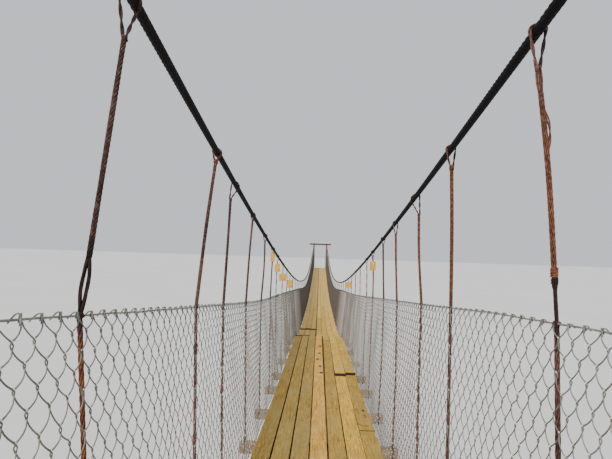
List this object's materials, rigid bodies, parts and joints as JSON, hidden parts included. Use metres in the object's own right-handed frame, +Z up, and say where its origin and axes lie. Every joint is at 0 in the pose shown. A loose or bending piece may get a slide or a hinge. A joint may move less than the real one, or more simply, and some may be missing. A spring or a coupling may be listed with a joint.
{
  "type": "suspension footbridge, 1:2 scale model",
  "caption": "Plank footbridge hung by twisted wire from two steel cables, with wire-mesh sides, a steel portal at each end and concrete anchors.",
  "frame": {"origin": "on the floor, under the middle of the bridge", "axes": "+Y along the bridge from the near portal to the far one, +X to the right, +Z up"},
  "size_m": [1.025, 33.6458, 2.3836],
  "materials": {
    "deck_wood": "sun-bleached, rough-sawn boards",
    "pale_wood": "rough pale softwood",
    "cable_steel": "dark greased and weathered wire rope",
    "hanger_wire": "rusty twisted wire",
    "wire_mesh": "dull galvanised wire",
    "red_steel": "matt red-brown, rusting",
    "concrete": "board-marked grey concrete"
  },
  "bodies": {
    "root": {"near_abutment": "concrete", "near_anchor_block": "concrete", "near_crossbar": "red_steel", "near_left_post": "red_steel", "near_right_post": "red_steel", "far_abutment": "concrete", "far_anchor_block": "concrete", "far_crossbar": "red_steel", "far_left_post": "red_steel", "far_right_post": "red_steel", "deck_section_1": "deck_wood", "left_mesh_panel_1": "wire_mesh", "left_hangers_1": "hanger_wire", "right_mesh_panel_1": "wire_mesh", "right_hangers_1": "hanger_wire", "deck_section_2": "deck_wood", "left_mesh_panel_2": "wire_mesh", "left_hangers_2": "hanger_wire", "right_mesh_panel_2": "wire_mesh", "right_hangers_2": "hanger_wire", "deck_section_3": "deck_wood", "left_mesh_panel_3": "wire_mesh", "left_hangers_3": "hanger_wire", "right_mesh_panel_3": "wire_mesh", "right_hangers_3": "hanger_wire", "deck_section_4": "deck_wood", "left_mesh_panel_4": "wire_mesh", "left_hangers_4": "hanger_wire", "right_mesh_panel_4": "wire_mesh", "right_hangers_4": "hanger_wire", "deck_section_5": "deck_wood", "left_mesh_panel_5": "wire_mesh", "left_hangers_5": "hanger_wire", "right_mesh_panel_5": "wire_mesh", "right_hangers_5": "hanger_wire", "left_main_cable": "cable_steel", "right_main_cable": "cable_steel", "left_wood_block_1": "pale_wood", "left_wood_block_2": "pale_wood", "left_wood_block_3": "pale_wood", "left_wood_block_4": "pale_wood", "right_wood_block_1": "pale_wood", "right_wood_block_2": "pale_wood"}
  },
  "joints": []
}
